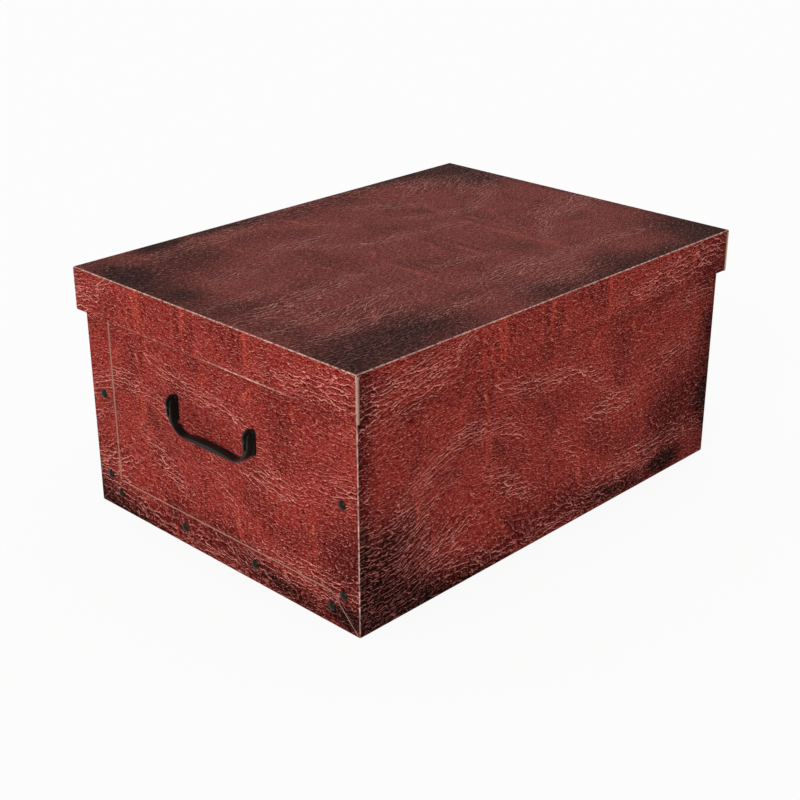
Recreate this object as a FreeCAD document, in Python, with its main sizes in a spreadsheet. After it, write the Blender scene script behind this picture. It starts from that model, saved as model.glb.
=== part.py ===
import FreeCAD, Part
import Sketcher
import math
import os

# Folding storage box of leather-printed board with a lift-off lid and a drop handle at each end.
# Frame: X across the width, Y along the length, Z up. The origin is the middle of the bottom face.
# The front end, the one with the handle nearest the viewer, looks towards -Y.

doc = FreeCAD.newDocument("storage_box")
vector = FreeCAD.Vector

# Driving dimensions in millimetres: name, value, what it is
dimensions = [
    ("base_width", 360.0, "box across, outside"),
    ("base_length", 500.0, "box along, outside"),
    ("total_height", 240.0, "floor to the top of the closed lid"),
    ("board", 1.5, "thickness of the board, one layer"),
    ("fold_radius", 1.4, "outside radius of a fold"),
    ("flap_width", 33.0, "side flap folded round an end"),
    ("bottom_flap", 32.0, "bottom flap folded up an end"),
    ("mitre_gap", 1.0, "slit between a side flap and the bottom flap"),
    ("panel_clearance", 0.3, "end panel to the long walls and the rim"),
    ("skirt_depth", 42.0, "lid skirt, top face to lower edge"),
    ("lid_clearance", 2.8, "box wall to the inside of the lid skirt"),
    ("hem_step", 3.0, "inner skirt layer's cut edge below the lid panel"),
    ("hem_radius", 1.2, "folded lower edge of the skirt"),
    ("joint_width", 0.5, "butt joint at a lid corner"),
    ("joint_depth", 1.2, "butt joint's visible depth"),
    ("rivet_head", 8.6, "diameter of a rivet head"),
    ("rivet_rim", 0.5, "straight rim under the dome"),
    ("rivet_dome", 1.7, "height of the dome over its rim"),
    ("rivet_shank", 4.0, "diameter of a rivet shank"),
    ("rivet_play", 0.15, "shank to the hole in the board, radial"),
    ("rivet_stub", 0.5, "shank past the socket"),
    ("socket_disc", 9.6, "diameter of the inside socket"),
    ("socket_thickness", 0.9, "flange of the socket"),
    ("socket_collar", 6.4, "diameter of the socket's collar"),
    ("collar_height", 1.1, "collar over its flange"),
    ("socket_play", 0.05, "shank to the socket bore, radial"),
    ("side_rivet_inset", 18.5, "side rivets from the box's side"),
    ("side_rivet_low", 34.0, "lowest side rivet above the floor"),
    ("side_rivet_top", 38.0, "highest side rivet below the lid's top"),
    ("bottom_rivet_height", 18.3, "bottom rivets above the floor"),
    ("bottom_rivet_inset", 33.0, "outer bottom rivets from the box's sides"),
    ("handle_height", 144.5, "handle's pivot axis above the floor"),
    ("handle_span", 104.6, "between the centres of the handle's legs"),
    ("leg_width", 7.4, "leg across, both prongs and the fork slot"),
    ("leg_depth", 6.2, "leg from front to back at the pivot"),
    ("axis_standoff", 6.5, "pivot axis from the end panel's face"),
    ("leg_straight", 3.9, "pivot axis to the start of the outer bend"),
    ("bend_radius", 25.0, "outer bend between leg and grip"),
    ("bend_step", 10.5, "outer bend's radius over the inner bend's"),
    ("grip_depth", 8.4, "grip from front to back"),
    ("grip_end", 2.3, "grip's thickness beside the bends"),
    ("grip_crown", 2.3, "rise of the grip's upper face at the middle"),
    ("bail_edge", 0.7, "rounding of the bail's long edges"),
    ("fork_depth", 12.0, "fork slot below the pivot axis"),
    ("lug_width", 2.3, "bracket's lug between the prongs"),
    ("lug_play", 0.25, "lug to a prong, each side"),
    ("lug_radius", 6.8, "rounded nose of the lug"),
    ("lug_reach", 5.5, "lug in front of the pivot axis"),
    ("trunnion", 2.4, "diameter of the pivot pins on the lug"),
    ("trunnion_play", 0.05, "pivot pin to its hole, radial"),
    ("trunnion_recess", 0.2, "pivot pin's end below the prong's outer face"),
    ("gate_mark", 1.6, "diameter of the moulding point on the grip"),
    ("gate_height", 0.3, "moulding point over the grip"),
    ("boss_width", 6.6, "bracket's boss across"),
    ("boss_top", 5.5, "boss above the pivot axis"),
    ("boss_bottom", 19.5, "boss below the pivot axis"),
    ("boss_play", 0.3, "boss to the back of the leg"),
    ("bracket_edge", 0.5, "rounding of the bracket's edges"),
    ("stem_width", 4.4, "snap stem across"),
    ("stem_height", 14.0, "snap stem upright"),
    ("stem_play", 0.2, "stem to its slots, each side"),
    ("stem_slit", 1.4, "slit that lets the stem's prongs close"),
    ("barb", 0.6, "barb past the side of the stem"),
    ("barb_length", 1.4, "barb along the stem"),
    ("barb_gap", 0.1, "barb to the clip"),
    ("clip_width", 14.0, "inside clip across"),
    ("clip_height", 30.0, "inside clip upright"),
    ("clip_thickness", 1.8, "inside clip"),
    ("clip_edge", 0.5, "rounding of the clip's inner face"),
]

sheet = doc.addObject("Spreadsheet::Sheet", "Sizes")
for row, (alias, number, meaning) in enumerate(dimensions, start=1):
    sheet.set("A%d" % row, alias)
    sheet.set("B%d" % row, repr(number))
    sheet.set("C%d" % row, meaning)
    sheet.setAlias("B%d" % row, alias)
doc.recompute()


class Size:
    # A length that carries its number and the sheet expression it comes from
    def __init__(self, number, text):
        self.number = float(number)
        self.text = text

    def __add__(self, other):
        other = as_size(other)
        return Size(self.number + other.number, "(%s + %s)" % (self.text, other.text))

    def __sub__(self, other):
        other = as_size(other)
        return Size(self.number - other.number, "(%s - %s)" % (self.text, other.text))

    def __mul__(self, other):
        other = as_size(other)
        return Size(self.number * other.number, "(%s * %s)" % (self.text, other.text))

    def __truediv__(self, other):
        other = as_size(other)
        return Size(self.number / other.number, "(%s / %s)" % (self.text, other.text))

    def __neg__(self):
        return Size(-self.number, "(0 - %s)" % self.text)

    def root(self):
        return Size(math.sqrt(self.number), "sqrt(%s)" % self.text)


def as_size(value):
    if isinstance(value, Size):
        return value
    return Size(value, repr(float(value)))


named = {alias: Size(sheet.get(alias), "Sizes." + alias) for alias, number, meaning in dimensions}
zero = as_size(0)

# Places worked out from the driving dimensions
board = named["board"]
half_width = named["base_width"] / 2
half_length = named["base_length"] / 2
rim_height = named["total_height"] - board
panel_face = half_length - board
lid_margin = named["lid_clearance"] + board * 2
lid_half_width = half_width + lid_margin
lid_half_length = half_length + lid_margin
skirt_foot = named["total_height"] - named["skirt_depth"]
leg_centre = named["handle_span"] / 2
boss_middle = (named["boss_top"] - named["boss_bottom"]) / 2
side_rivet_x = half_width - named["side_rivet_inset"]
bottom_rivet_x = half_width - named["bottom_rivet_inset"]
side_rivet_count = 3
bottom_rivet_count = 4
side_rivet_rise = named["total_height"] - named["side_rivet_top"] - named["side_rivet_low"]
bottom_rivet_pitch = bottom_rivet_x * 2 / (bottom_rivet_count - 1)


# Helpers that bind a feature's size to the sheet
def bind(thing, path, value):
    thing.setExpression(path, as_size(value).text)


def new_body(label, x=zero, y=zero, z=zero, turned=False):
    # A turned body faces the rear end: it is the front one rotated half a turn about Z
    body = doc.addObject("PartDesign::Body", label)
    body.Label = label
    body.AllowCompound = True
    angle = 180 if turned else 0
    body.Placement = FreeCAD.Placement(vector(0, 0, 0), FreeCAD.Rotation(vector(0, 0, 1), angle))
    bind(body, "Placement.Base.x", x)
    bind(body, "Placement.Base.y", y)
    bind(body, "Placement.Base.z", z)
    return body


def origin_feature(body, role):
    return [item for item in body.Origin.OriginFeatures if item.Role == role][0]


def new_sketch(body, plane, name, offset=zero):
    sketch = body.newObject("Sketcher::SketchObject", name)
    sketch.AttachmentSupport = [(origin_feature(body, plane), "")]
    sketch.MapMode = "FlatFace"
    bind(sketch, "AttachmentOffset.Base.z", offset)
    return sketch


def pin_point(sketch, geometry, end, x, y):
    for kind, value in (("DistanceX", as_size(x)), ("DistanceY", as_size(y))):
        rule = Sketcher.Constraint(kind, -1, 1, geometry, end, value.number)
        index = sketch.addConstraint(rule)
        bind(sketch, "Constraints[%d]" % index, value)


def arc_between(start, end, radius, turn):
    # Arc from start to end, anticlockwise for turn +1 and clockwise for turn -1, under half a turn
    across = end - start
    rise = math.sqrt(max(radius ** 2 - (across.Length / 2) ** 2, 0))
    side = vector(-across.y, across.x, 0).normalize() * turn
    centre = (start + end) / 2 + side * rise
    first, last = (start, end) if turn > 0 else (end, start)
    angles = [math.atan2(point.y - centre.y, point.x - centre.x) for point in (first, last)]
    if angles[1] < angles[0]:
        angles[1] += 2 * math.pi
    return Part.ArcOfCircle(Part.Circle(centre, vector(0, 0, 1), radius), *angles)


def closed_outline(sketch, corners):
    # Each corner is (x, y), or (x, y, radius, turn) where an arc leads on to the next corner
    places = [vector(as_size(c[0]).number, as_size(c[1]).number, 0) for c in corners]
    first_end, last_end = [], []
    base = sketch.GeometryCount
    for i, corner in enumerate(corners):
        start, end = places[i], places[(i + 1) % len(corners)]
        if len(corner) == 2:
            sketch.addGeometry(Part.LineSegment(start, end))
            turn = 1
        else:
            turn = corner[3]
            sketch.addGeometry(arc_between(start, end, as_size(corner[2]).number, turn))
        first_end.append(1 if turn > 0 else 2)
        last_end.append(2 if turn > 0 else 1)
    for i, corner in enumerate(corners):
        after = (i + 1) % len(corners)
        rule = Sketcher.Constraint("Coincident", base + i, last_end[i], base + after, first_end[after])
        sketch.addConstraint(rule)
        pin_point(sketch, base + i, first_end[i], corner[0], corner[1])
        if len(corner) == 4:
            radius = as_size(corner[2])
            index = sketch.addConstraint(Sketcher.Constraint("Radius", base + i, radius.number))
            bind(sketch, "Constraints[%d]" % index, radius)


def rectangle(sketch, left, right, low, high):
    closed_outline(sketch, [(left, low), (right, low), (right, high), (left, high)])


def circle(sketch, x, y, diameter):
    x, y, radius = as_size(x), as_size(y), as_size(diameter) / 2
    round_line = Part.Circle(vector(x.number, y.number, 0), vector(0, 0, 1), radius.number)
    index = sketch.addGeometry(round_line)
    pin_point(sketch, index, 3, x, y)
    rule = sketch.addConstraint(Sketcher.Constraint("Radius", index, radius.number))
    bind(sketch, "Constraints[%d]" % rule, radius)


def pad(body, sketch, length, name, back=False, centred=False):
    feature = body.newObject("PartDesign::Pad", name)
    feature.Profile = sketch
    bind(feature, "Length", length)
    feature.Reversed = back
    feature.SideType = "Symmetric" if centred else "One side"
    return feature


def pocket(body, sketch, length, name, back=False, centred=False):
    feature = body.newObject("PartDesign::Pocket", name)
    feature.Profile = sketch
    bind(feature, "Length", length)
    feature.Reversed = back
    feature.SideType = "Symmetric" if centred else "One side"
    return feature


def revolve(body, sketch, axis, name):
    feature = body.newObject("PartDesign::Revolution", name)
    feature.Profile = sketch
    feature.ReferenceAxis = axis
    feature.Angle = 360
    return feature


def mirrored(body, originals, plane, name):
    feature = body.newObject("PartDesign::Mirrored", name)
    feature.Originals = originals
    feature.MirrorPlane = (origin_feature(body, plane), [""])
    body.Tip = feature
    return feature


def row_of(body, original, axis, length, count, name):
    feature = body.newObject("PartDesign::LinearPattern", name)
    feature.Originals = [original]
    feature.Direction = (origin_feature(body, axis), [""])
    bind(feature, "Length", length)
    feature.Occurrences = count
    body.Tip = feature
    return feature


def round_edges(body, radius, wanted, name):
    doc.recompute()
    base = body.Tip
    chosen = ["Edge%d" % (i + 1) for i, edge in enumerate(base.Shape.Edges) if wanted(edge)]
    if not chosen:
        raise RuntimeError("no edge to round for " + name)
    feature = body.newObject("PartDesign::Fillet", name)
    feature.Base = (base, chosen)
    bind(feature, "Radius", radius)
    return feature


def at(value, size):
    return abs(value - size.number) < 1e-4


def ends(edge):
    # Lowest and highest corners of an edge's box
    box = edge.BoundBox
    return (box.XMin, box.XMax), (box.YMin, box.YMax), (box.ZMin, box.ZMax)


def both_at(pair, size):
    return at(abs(pair[0]), size) and at(abs(pair[1]), size) and pair[0] * pair[1] > 0


# Rivet places on one end, as (x, z) seen from outside
def rivet_places():
    places = []
    for side in (-1, 1):
        for i in range(side_rivet_count):
            height = named["side_rivet_low"] + side_rivet_rise / (side_rivet_count - 1) * i
            places.append((side_rivet_x * side, height))
    for i in range(bottom_rivet_count):
        places.append((bottom_rivet_pitch * i - bottom_rivet_x, named["bottom_rivet_height"]))
    return places


def rivet_holes(sketch):
    for x, z in rivet_places():
        circle(sketch, x, z, named["rivet_shank"] + named["rivet_play"] * 2)


# The box: bottom, two long walls and, round each end, two side flaps and a bottom flap
def make_body_sheet():
    body = new_body("body_sheet")
    section = new_sketch(body, "XZ_Plane", "fold_section")
    inside = half_width - board
    closed_outline(section, [
        (-half_width, zero), (half_width, zero), (half_width, rim_height), (inside, rim_height),
        (inside, board), (-inside, board), (-inside, rim_height), (-half_width, rim_height)])
    pad(body, section, named["base_length"], "trough", centred=True)

    # The flaps start inside the walls' thickness, so that the fold is one piece with them
    root = half_width - board / 2
    edge = half_width - named["flap_width"]
    top_edge = named["bottom_flap"]
    outline = new_sketch(body, "XZ_Plane", "flap_outline", half_length)
    closed_outline(outline, [
        (-root, board / 2), (root, board / 2), (root, rim_height), (edge, rim_height),
        (edge, top_edge), (-edge, top_edge), (-edge, rim_height), (-root, rim_height)])
    flaps = pad(body, outline, board, "flaps", back=True)

    # The slit runs from the flaps' inner corner to just short of the box's corner
    spread = named["mitre_gap"] * math.sqrt(0.5)
    stop = board * 1.25
    slits = new_sketch(body, "XZ_Plane", "mitre_lines", half_length)
    for side in (-1, 1):
        closed_outline(slits, [
            ((edge - spread) * side, top_edge), ((half_width - stop - spread) * side, stop),
            ((half_width - stop) * side, stop + spread), (edge * side, top_edge + spread),
            ((edge - spread) * side, top_edge + spread)])
    mitres = pocket(body, slits, board, "mitres")

    marks = new_sketch(body, "XZ_Plane", "rivet_hole_places", half_length)
    rivet_holes(marks)
    holes = pocket(body, marks, board, "rivet_holes")
    mirrored(body, [flaps, mitres, holes], "XZ_Plane", "both_ends")

    def is_fold(edge):
        across, along, up = ends(edge)
        corner = both_at(across, half_width) and both_at(along, half_length)
        long_fold = both_at(across, half_width) and at(up[1], zero)
        end_fold = both_at(along, half_length) and at(up[1], zero)
        return corner or long_fold or end_fold

    round_edges(body, named["fold_radius"], is_fold, "folds")
    return body


# End panel behind the flaps, with holes for the rivets and slots for the handle brackets
def make_end_panel(end):
    turned = end == "rear"
    body = new_body("end_panel_" + end, y=panel_face if turned else -panel_face, turned=turned)
    outline = new_sketch(body, "XZ_Plane", "panel_outline")
    side = half_width - board - named["panel_clearance"]
    rectangle(outline, -side, side, board, rim_height - named["panel_clearance"])
    pad(body, outline, board, "panel", back=True)
    marks = new_sketch(body, "XZ_Plane", "rivet_hole_places")
    rivet_holes(marks)
    pocket(body, marks, board, "rivet_holes")
    slots = new_sketch(body, "XZ_Plane", "bracket_slot_places")
    for way in (-1, 1):
        stem_slot(slots, leg_centre * way, named["handle_height"] + boss_middle)
    pocket(body, slots, board, "bracket_slots")
    return body


def stem_slot(sketch, x, z):
    reach = named["stem_width"] / 2 + named["stem_play"]
    rise = named["stem_height"] / 2 + named["stem_play"]
    rectangle(sketch, x - reach, x + reach, z - rise, z + rise)


# Lid: top panel with a doubled skirt folded inwards, butted at the corners
def make_lid():
    body = new_body("lid", z=skirt_foot)
    outer = new_sketch(body, "XY_Plane", "lid_outline")
    rectangle(outer, -lid_half_width, lid_half_width, -lid_half_length, lid_half_length)
    pad(body, outer, named["skirt_depth"], "blank")
    cavity = new_sketch(body, "XY_Plane", "inside_skirt")
    doubled = board * 2
    rectangle(cavity, doubled - lid_half_width, lid_half_width - doubled,
              doubled - lid_half_length, lid_half_length - doubled)
    pocket(body, cavity, named["skirt_depth"] - board, "inside", back=True)
    step_foot = named["skirt_depth"] - board - named["hem_step"]
    step = new_sketch(body, "XY_Plane", "hem_cut_edge", step_foot)
    rectangle(step, board - lid_half_width, lid_half_width - board,
              board - lid_half_length, lid_half_length - board)
    pocket(body, step, named["hem_step"], "hem_step", back=True)

    # The end skirt runs to the corner, and the long skirt butts against its inner face
    joints = new_sketch(body, "XY_Plane", "corner_joints")
    for side in (-1, 1):
        for end in (-1, 1):
            rectangle(joints, (lid_half_width - named["joint_depth"]) * side,
                      (lid_half_width + board) * side,
                      (lid_half_length - doubled - named["joint_width"]) * end,
                      (lid_half_length - doubled) * end)
    pocket(body, joints, named["skirt_depth"] - named["fold_radius"] - board, "butt_joints", back=True)

    def is_top_fold(edge):
        across, along, up = ends(edge)
        outside = both_at(across, lid_half_width) or both_at(along, lid_half_length)
        return outside and at(up[0], named["skirt_depth"])

    round_edges(body, named["fold_radius"], is_top_fold, "top_folds")

    def is_hem(edge):
        across, along, up = ends(edge)
        long_hem = both_at(across, lid_half_width - doubled)
        end_hem = both_at(along, lid_half_length) or both_at(along, lid_half_length - doubled)
        straight = edge.Length > named["base_width"].number / 2
        outer_hem = both_at(across, lid_half_width) and straight
        return at(up[1], zero) and straight and (long_hem or end_hem or outer_hem)

    round_edges(body, named["hem_radius"], is_hem, "hems")
    return body


# Drop handle, one moulding with forked legs: its own origin is the middle of the pivot axis,
# -Y is outwards
def make_handle(end):
    turned = end == "rear"
    out = panel_face + named["axis_standoff"]
    body = new_body("handle_" + end, y=out if turned else -out, z=named["handle_height"], turned=turned)
    leg_half = named["leg_depth"] / 2
    outer = leg_centre + named["leg_width"] / 2
    inner = leg_centre - named["leg_width"] / 2
    bend = named["bend_radius"]
    bend_x = outer - bend
    underside = -named["leg_straight"] - bend

    # The crowned upper face runs tangent into each inner bend. The bend's centre is inner_x from
    # the middle and the crown's centre is on the middle line, so that
    # (R + r)^2 = inner_x^2 + (R + r - crown)^2 gives R.
    inner_bend = bend - named["bend_step"]
    inner_x = inner - inner_bend
    inner_z = underside + named["grip_end"] + inner_bend
    crown = named["grip_crown"]
    crown_top = underside + named["grip_end"] + crown
    both_radii = (inner_x * inner_x + crown * crown) / (crown * 2)
    crown_radius = both_radii - inner_bend
    meet_x = inner_x * crown_radius / both_radii
    meet_z = crown_top - crown_radius + (both_radii - crown) * crown_radius / both_radii

    outline = new_sketch(body, "XZ_Plane", "bail_outline", leg_half)
    closed_outline(outline, [
        (-bend_x, underside), (bend_x, underside, bend, 1), (outer, underside + bend), (outer, zero),
        (inner, zero), (inner, inner_z, inner_bend, -1), (meet_x, meet_z, crown_radius, 1),
        (-meet_x, meet_z, inner_bend, -1), (-inner, inner_z), (-inner, zero),
        (-outer, zero), (-outer, underside + bend, bend, 1)])
    pad(body, outline, named["grip_depth"], "bail", back=True)

    def is_long_edge(edge):
        across, along, up = ends(edge)
        front_or_back = at(along[0] - along[1], zero)
        return front_or_back and not at(up[0], zero)

    round_edges(body, named["bail_edge"], is_long_edge, "softened_edges")

    # Behind the bracket the leg is as thin as at the pivot, with a slope down to the deep grip
    relief_top = -named["boss_bottom"] - named["boss_play"]
    grip_back = named["grip_depth"] - leg_half
    slope = grip_back - leg_half
    relief = new_sketch(body, "YZ_Plane", "back_relief_outline")
    closed_outline(relief, [
        (leg_half, relief_top), (grip_back + slope, relief_top - slope * 2),
        (grip_back + slope, zero), (leg_half, zero)])
    pocket(body, relief, outer * 2 + board, "back_relief", centred=True)

    # The leg's rounded top is turned about the pivot axis with the leg's own soft edges
    soft = named["bail_edge"]
    nose = new_sketch(body, "XY_Plane", "leg_top_outline")
    closed_outline(nose, [
        (inner, zero), (inner, soft - leg_half, soft, 1), (inner + soft, -leg_half),
        (outer - soft, -leg_half, soft, 1), (outer, soft - leg_half), (outer, zero)])
    nose_turned = revolve(body, nose, (nose, ["H_Axis"]), "leg_top")
    fork = new_sketch(body, "XZ_Plane", "fork_outline")
    slot_half = named["lug_width"] / 2 + named["lug_play"]
    rectangle(fork, leg_centre - slot_half, leg_centre + slot_half, -named["fork_depth"], leg_half + soft)
    fork_cut = pocket(body, fork, named["grip_depth"] * 2, "fork_slot", centred=True)
    bore = new_sketch(body, "YZ_Plane", "trunnion_hole_outline", inner - soft)
    circle(bore, zero, zero, named["trunnion"] + named["trunnion_play"] * 2)
    bore_cut = pocket(body, bore, named["leg_width"] + soft * 2, "trunnion_hole", back=True)
    mirrored(body, [nose_turned, fork_cut, bore_cut], "YZ_Plane", "other_leg")

    gate = new_sketch(body, "XY_Plane", "gate_mark_outline", crown_top - named["gate_height"])
    circle(gate, zero, (grip_back - leg_half) / 2, named["gate_mark"])
    pad(body, gate, named["gate_height"] * 2, "gate_mark")
    return body


# Handle bracket: an obround boss with a round lug that carries the pivot pins, and a split stem
# that snaps through the end panel. Its own origin is on the end panel's outer face, level with
# the pivot axis.
def make_bracket(end, side, name):
    turned = end == "rear"
    body = new_body(name, x=leg_centre * side, y=panel_face if turned else -panel_face,
                    z=named["handle_height"], turned=turned)
    depth = named["axis_standoff"] - named["leg_depth"] / 2 - named["boss_play"]
    round_half = named["boss_width"] / 2
    top = named["boss_top"] - round_half
    bottom = round_half - named["boss_bottom"]
    boss = new_sketch(body, "XZ_Plane", "boss_outline")
    closed_outline(boss, [
        (round_half, bottom), (round_half, top, round_half, 1), (zero, named["boss_top"], round_half, 1),
        (-round_half, top), (-round_half, bottom, round_half, 1), (zero, bottom - round_half, round_half, 1)])
    pad(body, boss, depth, "boss")

    def is_front_rim(edge):
        across, along, up = ends(edge)
        return at(along[0], -depth) and at(along[1], -depth)

    round_edges(body, named["bracket_edge"], is_front_rim, "softened_rim")

    # The lug is a disc with softened rims, turned about its own centre line and cut off at the panel
    reach = named["axis_standoff"] + named["lug_reach"]
    radius = named["lug_radius"]
    side_face = named["lug_width"] / 2
    soft = named["bracket_edge"]
    disc = new_sketch(body, "XY_Plane", "lug_outline")
    bind(disc, "AttachmentOffset.Base.y", radius - reach)
    closed_outline(disc, [
        (-side_face, zero), (-side_face, soft - radius, soft, 1), (soft - side_face, -radius),
        (side_face - soft, -radius, soft, 1), (side_face, soft - radius), (side_face, zero)])
    revolve(body, disc, (disc, ["H_Axis"]), "lug")
    behind = new_sketch(body, "YZ_Plane", "panel_plane_outline")
    rectangle(behind, zero, radius * 2, -radius * 2, radius * 2)
    pocket(body, behind, named["boss_width"] * 2, "flat_back", centred=True)
    pin_half = named["leg_width"] / 2 - named["trunnion_recess"]
    pins = new_sketch(body, "YZ_Plane", "trunnion_outline", -pin_half)
    circle(pins, -named["axis_standoff"], zero, named["trunnion"])
    pad(body, pins, pin_half * 2, "trunnions")

    stem_half = named["stem_width"] / 2
    stem_rise = named["stem_height"] / 2
    grip = board + named["clip_thickness"] + named["barb_gap"]
    length = grip + named["barb_length"]
    stem = new_sketch(body, "XZ_Plane", "stem_outline")
    rectangle(stem, -stem_half, stem_half, boss_middle - stem_rise, boss_middle + stem_rise)
    pad(body, stem, length, "stem", back=True)
    barbs = new_sketch(body, "XY_Plane", "barb_outline", boss_middle - stem_rise)
    for way in (-1, 1):
        closed_outline(barbs, [
            (stem_half * way, grip), ((stem_half + named["barb"]) * way, grip), (stem_half * way, length)])
    pad(body, barbs, named["stem_height"], "barbs")
    slit = new_sketch(body, "XZ_Plane", "stem_slit_outline", -board / 2)
    slit_half = named["stem_slit"] / 2
    rectangle(slit, -slit_half, slit_half, boss_middle - stem_rise - board, boss_middle + stem_rise + board)
    pocket(body, slit, length, "stem_slit")
    return body


# Clip on the inside of the end panel, which the bracket's stem snaps into
def make_clip(end, side, name):
    turned = end == "rear"
    inner_face = panel_face - board
    body = new_body(name, x=leg_centre * side, y=inner_face if turned else -inner_face,
                    z=named["handle_height"] + boss_middle, turned=turned)
    round_half = named["clip_width"] / 2
    straight = named["clip_height"] / 2 - round_half
    outline = new_sketch(body, "XZ_Plane", "clip_outline")
    closed_outline(outline, [
        (round_half, -straight), (round_half, straight, round_half, 1),
        (zero, straight + round_half, round_half, 1), (-round_half, straight),
        (-round_half, -straight, round_half, 1), (zero, -straight - round_half, round_half, 1)])
    pad(body, outline, named["clip_thickness"], "plate", back=True)

    def is_inner_rim(edge):
        across, along, up = ends(edge)
        return at(along[0], named["clip_thickness"]) and at(along[1], named["clip_thickness"])

    round_edges(body, named["clip_edge"], is_inner_rim, "softened_rim")
    slot = new_sketch(body, "XZ_Plane", "stem_slot_outline")
    stem_slot(slot, zero, zero)
    pocket(body, slot, named["clip_thickness"], "stem_slot")
    return body


# One row of rivets or sockets is one body: its own origin is the first one's seat, -Y is outwards
def rivet_rows(end):
    # Row name, first x and z, direction, length and count, seen in the frame of the whole box
    first_x = bottom_rivet_x if end == "rear" else -bottom_rivet_x
    return [
        ("left", -side_rivet_x, named["side_rivet_low"], "Z_Axis", side_rivet_rise, side_rivet_count),
        ("right", side_rivet_x, named["side_rivet_low"], "Z_Axis", side_rivet_rise, side_rivet_count),
        ("bottom", first_x, named["bottom_rivet_height"], "X_Axis", bottom_rivet_x * 2, bottom_rivet_count)]


def revolved_row(name, end, seat, row, profile):
    label, x, z, axis, length, count = row
    turned = end == "rear"
    body = new_body(name + "_" + end + "_" + label, x=x, y=seat if turned else -seat, z=z, turned=turned)
    outline = new_sketch(body, "XY_Plane", "profile")
    closed_outline(outline, profile)
    turning = revolve(body, outline, (origin_feature(body, "Y_Axis"), [""]), "turned_piece")
    doc.recompute()
    row_of(body, turning, axis, length, count, "row")
    return body


def make_rivets(end, row):
    head = named["rivet_head"] / 2
    shank = named["rivet_shank"] / 2
    dome = named["rivet_dome"]
    dome_radius = (head * head + dome * dome) / (dome * 2)
    tip = board * 2 + named["socket_thickness"] + named["collar_height"] + named["rivet_stub"]
    rim = named["rivet_rim"]
    return revolved_row("rivets", end, half_length, row, [
        (zero, -rim - dome, dome_radius, 1), (head, -rim), (head, zero), (shank, zero),
        (shank, tip - rim), (shank - rim, tip), (zero, tip)])


def make_sockets(end, row):
    bore = named["rivet_shank"] / 2 + named["socket_play"]
    disc = named["socket_disc"] / 2
    collar = named["socket_collar"] / 2
    flange = named["socket_thickness"]
    return revolved_row("rivet_sockets", end, half_length - board * 2, row, [
        (bore, zero), (disc, zero), (disc, flange), (collar, flange),
        (collar, flange + named["collar_height"]), (bore, flange + named["collar_height"])])


pieces = [make_body_sheet(), make_lid()]
for end in ("front", "rear"):
    pieces.append(make_end_panel(end))
    pieces.append(make_handle(end))
    for side, word in ((-1, "left"), (1, "right")):
        pieces.append(make_bracket(end, side, "handle_bracket_%s_%s" % (end, word)))
        pieces.append(make_clip(end, side, "bracket_clip_%s_%s" % (end, word)))
    for row in rivet_rows(end):
        pieces.append(make_rivets(end, row))
        pieces.append(make_sockets(end, row))

doc.recompute()
for item in doc.Objects:
    faults = [word for word in item.State if word in ("Invalid", "Error")]
    if faults:
        raise RuntimeError("%s is %s" % (item.Label, faults))
for piece in pieces:
    if piece.Shape.isNull() or not piece.Shape.isValid():
        raise RuntimeError("bad shape: " + piece.Label)

os.makedirs("parts", exist_ok=True)
for piece in pieces:
    piece.Shape.exportStep("parts/%s.step" % piece.Label)
    box = piece.Shape.BoundBox
    print("%-28s %2d solid  %10.1f mm3  x %.1f %.1f  y %.1f %.1f  z %.1f %.1f" % (
        piece.Label, len(piece.Shape.Solids), piece.Shape.Volume,
        box.XMin, box.XMax, box.YMin, box.YMax, box.ZMin, box.ZMax))
print("%d nodes" % len(pieces))
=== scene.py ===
# Storage box in leather-print board, dressed for rendering. Measures are in mm unless a note says so.
from math import cos, radians, sin

import bpy
import numpy as np
from mathutils import Matrix, Vector

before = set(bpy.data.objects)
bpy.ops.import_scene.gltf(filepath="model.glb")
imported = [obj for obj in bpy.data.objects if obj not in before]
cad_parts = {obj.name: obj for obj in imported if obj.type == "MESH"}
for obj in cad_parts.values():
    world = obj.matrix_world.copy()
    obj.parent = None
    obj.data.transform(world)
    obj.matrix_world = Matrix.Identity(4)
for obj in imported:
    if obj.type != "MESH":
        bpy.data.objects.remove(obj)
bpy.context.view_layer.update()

print("frame loaded:", len(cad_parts), "nodes")

mmPerMetre = 1000.0
# The sockets that a ramp's four numbers below go to: from, to, and what these two become
rampSockets = ("From Min", "From Max", "To Min", "To Max")


def toLinear(hexColour):
    # sRGB hex to linear light: c/12.92 below 0.04045, else ((c + 0.055)/1.055)^2.4
    c = np.array([int(hexColour[i:i + 2], 16) for i in (1, 3, 5)]) / 255
    linear = np.where(c <= 0.04045, c / 12.92, ((c + 0.055) / 1.055) ** 2.4)
    return (*linear.tolist(), 1.0)


def addNode(tree, kind, links=None, out=0, **settings):
    # links: input name or number -> a fixed value or another node's output
    node = tree.nodes.new("ShaderNode" + kind)
    for name, value in settings.items():
        setattr(node, name, value)
    for place, value in (links or {}).items():
        if isinstance(value, bpy.types.NodeSocket):
            tree.links.new(value, node.inputs[place])
        else:
            node.inputs[place].default_value = value
    return node.outputs[out] if len(node.outputs) else node


def sumMarks(tree, place, marks, gain=1.0):
    # Soft ellipses, added up. Each is (u, v, half length, half width, degrees, strength), and
    # fades evenly from its middle to its rim: strength * max(1 - distance in its own axes, 0).
    total = 0.0
    for u, v, halfLength, halfWidth, angle, strength in marks:
        local = addNode(tree, "Mapping", {"Vector": place, "Location": (u, v, 0), "Rotation": (0, 0, radians(angle)),
                                          "Scale": (halfLength, halfWidth, 1)}, vector_type="TEXTURE")
        glow = addNode(tree, "TexGradient", {"Vector": local}, out="Fac", gradient_type="SPHERICAL")
        total = addNode(tree, "Math", {0: glow, 1: strength * gain, 2: total}, operation="MULTIPLY_ADD")
    return total


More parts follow.
